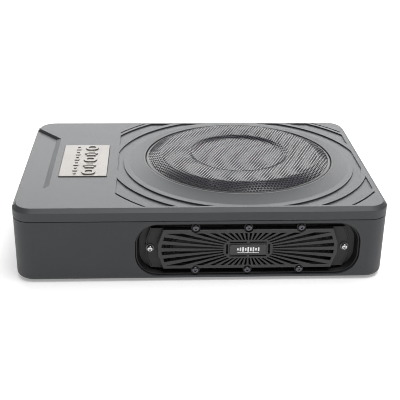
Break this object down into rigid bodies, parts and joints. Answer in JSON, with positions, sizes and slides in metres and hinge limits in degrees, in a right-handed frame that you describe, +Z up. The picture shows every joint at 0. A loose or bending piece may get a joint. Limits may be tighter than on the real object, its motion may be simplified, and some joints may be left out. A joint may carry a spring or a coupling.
{
  "type": "powered car subwoofer",
  "caption": "Shallow powered car subwoofer with a domed driver grille on top, a slotted cover over a passive radiator in front and a control bay in the left end.",
  "frame": {"origin": "on the ground, under the middle of the enclosure", "axes": "+X to the right along the front wall, -Y out of the front wall, +Z up"},
  "size_m": [0.345, 0.238, 0.084],
  "materials": {
    "cover_paint": "fine texture, satin",
    "tub_plastic": "moulded, fine texture",
    "silver_plate": "brushed",
    "emblem_lacquer": "black lacquer with small bright marks",
    "grille_steel": "perforated, grey coat",
    "rubber": "matte",
    "foam": "closed-cell foam",
    "spider_cloth": "resin-dipped cloth",
    "cone_paper": "pressed cone",
    "cap_plastic": "satin",
    "copper": "enamelled copper wire",
    "zinc_steel": "zinc plated",
    "ferrite": "sintered",
    "black_enamel": "satin",
    "black_plastic": "moulded",
    "graphite_plastic": "moulded",
    "black_steel": "black oxide",
    "bright_steel": "bright zinc",
    "socket_plastic": "moulded",
    "knob_plastic": "moulded",
    "fuse_amber": "clear amber",
    "nickel": "nickel plated",
    "lens": "diffusing",
    "board": "solder mask",
    "fin_aluminium": "extruded",
    "capacitor_sleeve": "shrink sleeve"
  },
  "bodies": {
    "housing": {"amplifier_board": "board", "bass_boost_potentiometer": "socket_plastic", "capacitor_1": "capacitor_sleeve", "capacitor_2": "capacitor_sleeve", "choke": "copper", "control_panel": "black_plastic", "cover_gasket": "rubber", "crossover_potentiometer": "socket_plastic", "driver_screw_1": "black_steel", "driver_screw_2": "black_steel", "driver_screw_3": "black_steel", "driver_screw_4": "black_steel", "foot_front_left": "rubber", "foot_front_right": "rubber", "foot_rear_left": "rubber", "foot_rear_right": "rubber", "fuse": "fuse_amber", "fuse_holder": "socket_plastic", "grille_bolt_left": "bright_steel", "grille_bolt_right": "bright_steel", "heat_sink": "fin_aluminium", "level_potentiometer": "socket_plastic", "magnet": "ferrite", "magnet_top_plate": "zinc_steel", "name_plate": "silver_plate", "phase_switch_body": "socket_plastic", "power_led": "lens", "power_socket": "socket_plastic", "radiator_emblem": "emblem_lacquer", "radiator_frame": "black_plastic", "radiator_gasket": "foam", "radiator_grille": "graphite_plastic", "radiator_screw_1": "black_steel", "radiator_screw_2": "black_steel", "radiator_screw_3": "black_steel", "radiator_screw_4": "black_steel", "radiator_screw_5": "black_steel", "radiator_screw_6": "black_steel", "radiator_surround": "rubber", "rca_jack_left": "nickel", "rca_jack_right": "nickel", "remote_socket": "socket_plastic", "speaker_grille": "grille_steel", "speaker_level_socket": "socket_plastic", "spider": "spider_cloth", "top_cover": "cover_paint", "tub": "tub_plastic", "woofer_basket": "black_enamel", "woofer_gasket": "foam", "woofer_surround": "rubber", "yoke": "zinc_steel"},
    "cone_assembly": {"woofer_cone": "cone_paper", "dust_cap": "cap_plastic", "voice_coil": "copper"},
    "radiator": {"radiator_diaphragm": "black_plastic", "radiator_weight": "zinc_steel"},
    "level_knob": {"level_knob": "knob_plastic"},
    "crossover_knob": {"crossover_knob": "knob_plastic"},
    "bass_boost_knob": {"bass_boost_knob": "knob_plastic"},
    "phase_switch": {"phase_switch_lever": "knob_plastic"}
  },
  "joints": [
    {"name": "cone_travel", "type": "slide", "parent": "housing", "child": "cone_assembly", "axis": [0, 0, 1], "range_m": [-0.006, 0.006], "stiffness_N_per_m": 2500, "deforming": ["woofer_surround", "spider"]},
    {"name": "radiator_travel", "type": "slide", "parent": "housing", "child": "radiator", "axis": [0, -1, 0], "range_m": [-0.004, 0.004], "stiffness_N_per_m": 2200, "deforming": ["radiator_surround"]},
    {"name": "level_turn", "type": "hinge", "parent": "housing", "child": "level_knob", "pos_m": [-0.1604, -0.013, 0.042], "axis": [-1, 0, 0], "range_deg": [-140, 140]},
    {"name": "crossover_turn", "type": "hinge", "parent": "housing", "child": "crossover_knob", "pos_m": [-0.1604, -0.032, 0.042], "axis": [-1, 0, 0], "range_deg": [-140, 140]},
    {"name": "bass_boost_turn", "type": "hinge", "parent": "housing", "child": "bass_boost_knob", "pos_m": [-0.1604, -0.051, 0.042], "axis": [-1, 0, 0], "range_deg": [-140, 140]},
    {"name": "phase_slide", "type": "slide", "parent": "housing", "child": "phase_switch", "axis": [0, -1, 0], "range_m": [0, 0.004]}
  ]
}
